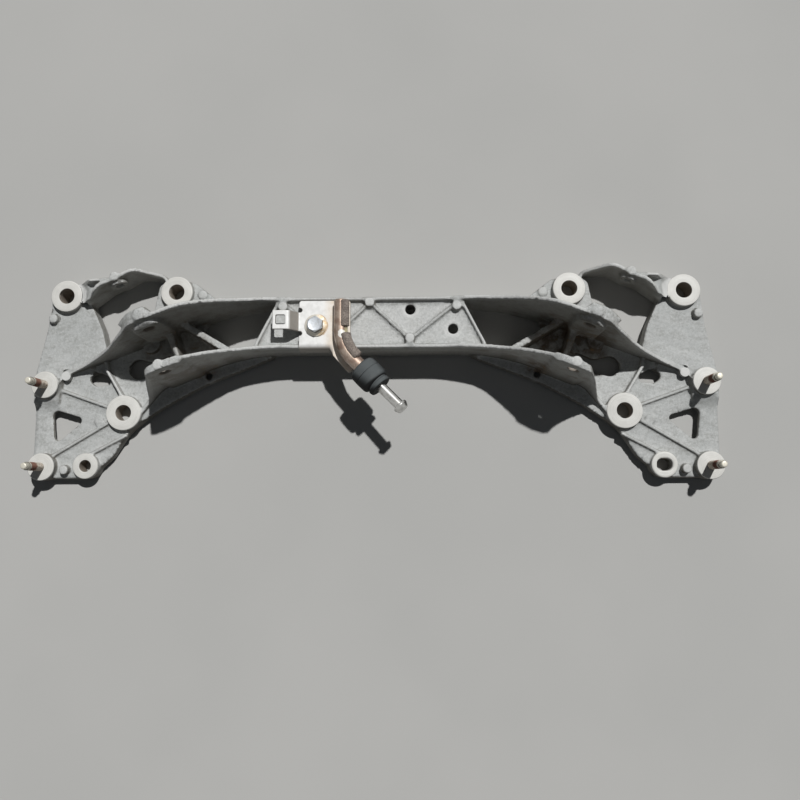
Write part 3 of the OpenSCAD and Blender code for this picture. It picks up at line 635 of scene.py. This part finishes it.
def zincSheet():
    f = Finish("zinc_sheet", Metallic=0.12)
    x, y, _ = f.axes()
    spangle = f.noise(7 * mm, 3, 0.6)
    fine = f.noise(0.8 * mm, 2)
    brushed = f.noise(1 * mm, 2, place=f.stretch((1.0, 0.08, 1.0)))
    colour = f.blend(f.ease(spangle, 0.4, 0.65), bracket["zinc"], bracket["worn"])
    near = 1 - f.ease(abs(x - bracket["rodX"] * mm), 9 * mm, 24 * mm)
    colour = f.blend(near * 0.7 + (spangle - 0.5) * near, colour, bracket["heat"])
    boltX = bracket["boltAt"][0]
    away = planAway(x, y, bracket["boltAt"])
    ring = f.band(away, 12.6 * mm, 13.6 * mm, 0.9 * mm) * f.ease(x, (boltX + 1) * mm, (boltX + 9) * mm)
    colour = f.blend(ring * f.ease(spangle, 0.3, 0.55) * 0.8, colour, bracket["ringStain"])
    # painted shade: upright faces such as the lip darker
    upright = 1 - f.ease(f.level(), 0.62, 0.995)
    colour = f.blend(upright * 0.9, colour, bracket["upright"])
    # painted shade in hollows and corners
    grime = f.ease(f.cavity(6 * mm) * 0.9 + spangle * 0.2, 0.4, 0.95)
    colour = f.blend(grime * 0.75, colour, bracket["grime"])
    f.set(Base_Color=colour, Roughness=0.42 + brushed * 0.2 + spangle * 0.1)
    f.bump(brushed * 0.5 + fine * 0.5, 0.08 * mm)
    return f


def rollLip(points):  # the lip is pressed round a large outer radius and leans out
    left, right = bracket["lipX"]
    radius = bracket["lipRound"]
    lean = math.radians(bracket["lipLean"])
    rolled = np.array(points)
    across = bracket["lipStart"] - rolled[:, 1] / mm
    up = rolled[:, 2] / mm - (bracket["top"] - radius)
    away = np.hypot(across, up)
    turn = np.arctan2(across, up)  # 0 straight up, a quarter turn straight to the front
    past = bracket["lipPast"]  # how far round the flat of the lip is followed
    limit = radius / np.cos(np.clip(turn - lean, 0, past))
    fade = np.clip((right + bracket["lipFade"] - rolled[:, 0] / mm) / bracket["lipFade"], 0, 1)
    outside = (turn > 0) & (turn < lean + past) & (away > limit) & (rolled[:, 0] / mm > left)
    pull = np.where(outside, (limit / np.maximum(away, 1e-6) - 1) * fade, 0)
    rolled[:, 1] -= across * pull * mm
    rolled[:, 2] += up * pull * mm
    return rolled


points, faces = softened(*nodeMesh("hanger_bracket"), bracket)
points = rollLip(points)
piece = addPiece("bracket_plate", points, faces, zincSheet(), "hanger_bracket", crease=0)
weighNormals(piece)

bolt = dict(
    at=bracket["boltAt"], seat=bracket["top"], flange=25.4, flangeRim=1.2, flangeBevel=0.4, flangeRise=2.8,
    flats=16.4, top=9.6, chamfer=15.0, slope=30, neck=0.35, dish=0.3, steps=144,
    zinc=(0.60, 0.63, 0.665), dull=(0.45, 0.46, 0.47), cream=(0.70, 0.665, 0.59),
    passivate=(0.52, 0.36, 0.18), boltShade=(0.08, 0.075, 0.07),
)


def zincBolt():
    f = Finish("zinc_bolt", Metallic=0.4)
    x, _, z = f.axes()
    wear = f.noise(3 * mm, 3, 0.6)
    fine = f.noise(0.5 * mm, 2)
    seat = bolt["seat"]
    low = 1 - f.ease(z, (seat + 2.5) * mm, (seat + 3.5) * mm)
    colour = f.blend(f.ease(wear, 0.4, 0.7), bolt["zinc"], bolt["dull"])
    # painted shade on the sides of the hexagon
    boltShade = f.band(z, (seat + 2.9) * mm, (seat + 9.9) * mm, 0.1 * mm)
    colour = f.blend(boltShade * (1 - f.ease(f.level(), 0.6, 0.97)) * 0.9, colour, bolt["boltShade"])
    colour = f.blend(low, colour, bolt["cream"])
    # painted shade in the hollows round the head
    colour = f.blend(f.ease(f.cavity(2.5 * mm), 0.25, 0.7) * 0.8, colour, bolt["boltShade"])
    tinted = low * f.ease(wear, 0.3, 0.55) * f.ease(x, (bolt["at"][0] - 2) * mm, (bolt["at"][0] + 8) * mm)
    colour = f.blend(tinted * 0.85, colour, bolt["passivate"])
    f.set(Base_Color=colour, Roughness=0.30 + wear * 0.2)
    f.bump(fine * 0.5 + wear * 0.5, 0.06 * mm)
    return f


def hexHead():
    def hexRadius(angle):
        turn = (angle + math.pi / 6) % (math.pi / 3) - math.pi / 6
        return bolt["flats"] / 2 / math.cos(turn)

    def crown(angle):  # height of the chamfered top at the hexagon's edge
        return bolt["top"] - max(0, hexRadius(angle) - disc) * math.tan(math.radians(bolt["slope"]))

    place = Matrix.Translation((*bolt["at"], bolt["seat"]))
    angles = circle(bolt["steps"])
    flange = bolt["flange"] / 2
    rise = bolt["flangeRise"]
    disc = bolt["chamfer"] / 2
    rows = [
        [(flange - bolt["flangeBevel"], 0) for a in angles],
        [(flange, 0.35) for a in angles],
        [(flange, bolt["flangeRim"]) for a in angles],
        [(hexRadius(a) + bolt["neck"], rise - 0.1) for a in angles],
        [(hexRadius(a), rise + 0.3) for a in angles],
        [(hexRadius(a), crown(a)) for a in angles],
        [(disc, bolt["top"]) for a in angles],
        [(disc - 1.2, bolt["top"] - 0.25) for a in angles],
        [(0.5, bolt["top"] - bolt["dish"]) for a in angles]]
    return grid([
        [place @ Vector((r * math.cos(a), r * math.sin(a), h)) * mm for a, (r, h) in zip(angles, row)]
        for row in rows])


points, faces = hexHead()
addPiece("bolt_head", points, faces, zincBolt(), "bracket_bolt", crease=25)
print("bracket done")


# Hanger rod, weld, rubber and pin

hanger = dict(
    across=16, x=bracket["rodX"], rear=76, cornerY=22, z=66.55, bend=48, turn=45, tilt=9, end=46,
    sawnBevel=0.9, rodStep=1.5, rodSides=48,
    weldAt=(5.6, 4.2), weldRadius=5.2, weldFlat=0.92, frontWeld=1.14, weldStep=0.45, weldSides=28,
    weldFrom=0.4, gapFrom=32.5, gapTo=39, weldTo=77, weldEnds=4,
    lump=0.34, lumpAlong=0.9, lumpAround=2.2, ripple=0.12, ripplePitch=1.7, rippleLag=0.8,
    filedAt=(-30, 36), filedRadius=4.6, filedZ=(69, 71.5), goldAt=(-23.5, 40.5), goldRadius=3.4,
    brown=(0.27, 0.18, 0.135), dark=(0.12, 0.078, 0.058), copper=(0.48, 0.385, 0.31),
    weld=(0.30, 0.255, 0.22), weldDark=(0.12, 0.097, 0.083),
    filed=(0.82, 0.80, 0.74), gold=(0.72, 0.63, 0.38),
)
tiltTurn = Matrix.Rotation(math.radians(-hanger["tilt"]), 3, "Y")
bendBack = hanger["bend"] * math.tan(math.radians(hanger["turn"] / 2))
legFrame = (
    Matrix.Translation((hanger["x"], hanger["cornerY"], hanger["z"]))
    @ Matrix.Rotation(math.radians(-hanger["tilt"]), 4, "Y")
    @ Matrix.Rotation(math.radians(hanger["turn"] - 90), 4, "Z")
    @ Matrix.Rotation(math.radians(90), 4, "Y"))  # its Z runs along the bent leg


def rodPath(step):  # places along the rod with the ways to its right and up, and the length so far
    start = hanger["cornerY"] + bendBack
    stations = []
    straight = hanger["rear"] - start
    arc = hanger["bend"] * math.radians(hanger["turn"])
    total = straight + arc + hanger["end"] - bendBack
    count = int(total / step)
    for i in range(count + 1):
        s = total * i / count
        angle = min(max(0, s - straight), arc) / hanger["bend"]
        rest = Vector((0, max(0, straight - s), 0))
        rest += Vector((math.sin(angle), -math.cos(angle), 0)) * max(0, s - straight - arc)
        centre = Vector((1 - math.cos(angle), -math.sin(angle), 0)) * hanger["bend"]
        at = Vector((hanger["x"], start, hanger["z"])) + tiltTurn @ (centre + rest)
        right = tiltTurn @ Vector((math.cos(angle), math.sin(angle), 0))
        stations.append((at, right, tiltTurn @ Vector((0, 0, 1)), s))
    return stations


def sweepRod():
    rings = []
    for at, right, up, s in rodPath(hanger["rodStep"]):
        radius = hanger["across"] / 2 - (0 if s else hanger["sawnBevel"])
        rings.append([
            (at + right * radius * math.cos(a) + up * radius * math.sin(a)) * mm
            for a in circle(hanger["rodSides"])])
    return grid(rings)


def sweepWeld(low, high, size):
    stations = [station for station in rodPath(hanger["weldStep"]) if low <= station[3] <= high]
    across, height = hanger["weldAt"]
    across = across * size
    around = hanger["lumpAround"]
    rings = []
    for i, (at, right, up, s) in enumerate(stations):
        left = len(stations) - i
        ends = min(1, (i + 0.5) / hanger["weldEnds"], (left - 0.5) / hanger["weldEnds"]) ** 0.5
        ring = []
        for a in circle(hanger["weldSides"]):
            spot = Vector((s * hanger["lumpAlong"], math.cos(a) * around, math.sin(a) * around))
            lump = hanger["lump"] * noise.noise(spot)
            turns = s * 2 * math.pi / hanger["ripplePitch"]
            ripple = hanger["ripple"] * math.sin(turns + hanger["rippleLag"] * math.cos(a))
            radius = (hanger["weldRadius"] * size + lump + ripple) * ends
            aside = right * (across + radius * math.cos(a))
            ring.append((at + aside + up * (height + radius * hanger["weldFlat"] * math.sin(a))) * mm)
        rings.append(ring)
    return grid(rings)


def spotMask(f, x, y, at, radius, ragged):
    away = planAway(x, y, at)
    return 1 - f.ease(away / mm + (ragged - 0.5) * 5, radius - 0.6, radius + 0.4)


def tintedRod():
    f = Finish("tinted_rod", Coat_Roughness=0.2)
    x, y, z = f.axes()
    patch = f.noise(12 * mm, 4, 0.6)
    fine = f.noise(0.6 * mm, 2)
    grit = f.noise(2.2 * mm, 3)
    along = f.noise(1.2 * mm, 2, place=f.stretch((1.0, 0.06, 1.0)))
    colour = f.blend(f.ease(patch, 0.38, 0.66), hanger["brown"], hanger["copper"])
    colour = f.blend(f.ease(patch * 0.5 + along * 0.5, 0.50, 0.70) * 0.75, colour, hanger["dark"])
    low, high = hanger["filedZ"]
    filed = spotMask(f, x, y, hanger["filedAt"], hanger["filedRadius"], grit)
    filed = filed * f.ease(z, low * mm, high * mm)
    colour = f.blend(filed, colour, hanger["filed"])
    golden = spotMask(f, x, y, hanger["goldAt"], hanger["goldRadius"], grit)
    colour = f.blend(golden, colour, hanger["gold"])
    f.set(Base_Color=colour, Roughness=0.36 + patch * 0.18 + (along - 0.5) * 0.1)
    f.set(Metallic=0.75 - filed * 0.7, Coat_Weight=0.95 - filed * 0.8)
    f.bump(fine * 0.3 + along * 0.7, 0.06 * mm)
    return f


def weldRun():
    f = Finish("weld_run", Metallic=0.1)
    grit = f.noise(1.1 * mm, 3, 0.6)
    patch = f.noise(6 * mm, 3)
    colour = f.blend(f.ease(grit * 0.7 + patch * 0.3, 0.40, 0.58), hanger["weldDark"], hanger["weld"])
    f.set(Base_Color=colour, Roughness=0.62 + grit * 0.3)
    f.bump(grit, 0.5 * mm)
    return f


points, faces = sweepRod()
addPiece("hanger_bar", points, faces, tintedRod(), "hanger_rod", crease=40)
weldFinish = weldRun()
weldRuns = dict(
    weld_rear=(hanger["weldFrom"], hanger["gapFrom"], 1),
    weld_front=(hanger["gapTo"], hanger["weldTo"], hanger["frontWeld"]))
for name, run in weldRuns.items():
    points, faces = sweepWeld(*run)
    addPiece(name, points, faces, weldFinish, crease=0)

rubber = dict(
    at=33.4, across=34, long=25.6, lip=27.5, lipLong=7, bore=12, fit=0.1, round=4.0, seam=0.46,
    black=(0.012, 0.0125, 0.013), dustAndLitTop=(0.088, 0.097, 0.099), pale=(0.125, 0.132, 0.132),
    deep=(0.006, 0.006, 0.0065),
)


def hangerRubber():
    f = Finish("hanger_rubber", Specular_IOR_Level=0.2)
    dust = f.noise(9 * mm, 4, 0.6)
    fine = f.noise(0.5 * mm, 2)
    # faces that look up are lighter and the others near black: dust, and painted light and shade
    top = f.ease(f.upward() + (dust - 0.5) * 0.5, 0.05, 0.8) * (1 - f.ease(f.southward(), 0.1, 0.6))
    colour = f.blend(top, rubber["black"], rubber["dustAndLitTop"])
    colour = f.blend(top * f.ease(dust * 0.7 + fine * 0.3, 0.50, 0.72) * 0.7, colour, rubber["pale"])
    # painted shade in the hollows
    colour = f.blend(f.ease(f.cavity(4 * mm), 0.3, 0.9) * 0.85, colour, rubber["deep"])
    f.set(Base_Color=colour, Roughness=0.62 + dust * 0.2)
    f.bump(fine * 0.5 + dust * 0.5, 0.12 * mm)
    return f


def sleeveProfile():
    body = rubber["across"] / 2
    lip = rubber["lip"] / 2
    rod = hanger["across"] / 2 + rubber["fit"]
    hole = rubber["bore"] / 2
    start = rubber["at"]
    end = start + rubber["long"]
    seam = start + rubber["long"] * rubber["seam"]
    tail = end + rubber["lipLong"]
    return softCorners([
        (rod, start + 4), (rod, start, 0.6), (body - 0.6, start, rubber["round"]),
        (body, seam - 0.5, 0.3), (body - 0.6, seam, 0.3), (body, seam + 0.5, 0.3),
        (body - 0.4, end, rubber["round"]), (lip - 1.2, end, 0.8), (lip - 1.0, end + 1.5, 0.6),
        (lip, end + 2.5, 0.8), (lip - 0.6, tail, 1.6), (hole, tail, 0.8), (hole, end + 2)])


points, faces = lathe(sleeveProfile(), legFrame)
addPiece("rubber_sleeve", points, faces, hangerRubber(), "hanger_rubber", crease=50)

pin = dict(
    start=52, across=11.5, collarAt=95, end=102, collar=17,
    steel=(0.66, 0.655, 0.64), dull=(0.38, 0.37, 0.35),
)


def brightPin():
    f = Finish("bright_pin", Metallic=1.0)
    patch = f.noise(5 * mm, 3, 0.6)
    fine = f.noise(0.5 * mm, 2)
    colour = f.blend(f.ease(patch, 0.42, 0.72) * 0.7, pin["steel"], pin["dull"])
    f.set(Base_Color=colour, Roughness=0.20 + patch * 0.16)
    f.bump(fine, 0.03 * mm)
    return f


def pinProfile():
    shank = pin["across"] / 2
    head = pin["collar"] / 2
    collar = pin["collarAt"]
    return softCorners([
        (0.5, pin["start"]), (shank, pin["start"]), (shank, collar, 0.4), (head - 0.3, collar + 0.2, 0.4),
        (head, collar + 2.4, 0.5), (shank + 0.3, pin["end"], 0.8), (0.5, pin["end"])])


points, faces = lathe(pinProfile(), legFrame)
addPiece("pin", points, faces, brightPin(), "hanger_pin", crease=30)
print("hanger done")


# Floor, light and camera

studio = dict(
    floorSize=12.0, floorPatch=0.3, floorColour=(0.455, 0.45, 0.432), floorDull=(0.43, 0.427, 0.41),
    sunWay=(0.282, 0.527, 1.0), sunStrength=3.3, sunAngle=1.5,
    fill=(0.041, 0.045, 0.051), backdrop=(0.50, 0.50, 0.49),
    place=(61.9, -138.0, 892.9), plumb=(424.66, 490.27), focus=750.0, picture=800, roll=-0.00168,
)


def layFloor():
    half = studio["floorSize"] / 2
    mesh = bpy.data.meshes.new("floor")
    corners = [(-half, -half, 0), (half, -half, 0), (half, half, 0), (-half, half, 0)]
    mesh.from_pydata(corners, [], [(0, 1, 2, 3)])
    f = Finish("pale_floor", Roughness=0.9)
    patch = f.ease(f.noise(studio["floorPatch"], 3), 0.3, 0.7)
    f.set(Base_Color=f.blend(patch, studio["floorColour"], studio["floorDull"]))
    mesh.materials.append(f.material)
    floor = bpy.data.objects.new("floor", mesh)
    bpy.context.scene.collection.objects.link(floor)


def hangLights():
    lamp = bpy.data.lights.new("key", "SUN")
    lamp.energy = studio["sunStrength"]
    lamp.angle = math.radians(studio["sunAngle"])
    key = bpy.data.objects.new("key", lamp)
    key.rotation_mode = "QUATERNION"
    key.rotation_quaternion = Vector(studio["sunWay"]).to_track_quat("Z", "Y")
    bpy.context.scene.collection.objects.link(key)
    world = bpy.data.worlds.new("studio")
    bpy.context.scene.world = world
    world.use_nodes = True
    sky = Graph(world.node_tree)
    ways = ("Is Camera Ray", "Is Glossy Ray", "Is Transmission Ray")
    camera, glossy, through = [sky.node("ShaderNodeLightPath", out=way) for way in ways]
    shade = sky.blend(camera | glossy | through, studio["fill"], studio["backdrop"])
    sky.join(shade, world.node_tree.nodes["Background"].inputs["Color"])


def aimCamera():
    lens = bpy.data.cameras.new("camera")
    lens.sensor_width = 36
    lens.lens = lens.sensor_width * studio["focus"] / studio["picture"]
    half = studio["picture"] / 2
    up = -Vector((studio["plumb"][0] - half, half - studio["plumb"][1], -studio["focus"])).normalized()
    along = Vector((math.cos(studio["roll"]), -math.sin(studio["roll"]), 0))
    along = (along - up * along.dot(up)).normalized()
    turn = Matrix((along, up.cross(along), up)).to_4x4()
    camera = bpy.data.objects.new("camera", lens)
    camera.matrix_world = Matrix.Translation(Vector(studio["place"]) * mm) @ turn
    bpy.context.scene.collection.objects.link(camera)
    bpy.context.scene.camera = camera


layFloor()
hangLights()
aimCamera()
bpy.context.scene.view_settings.view_transform = "Standard"
print("studio done")
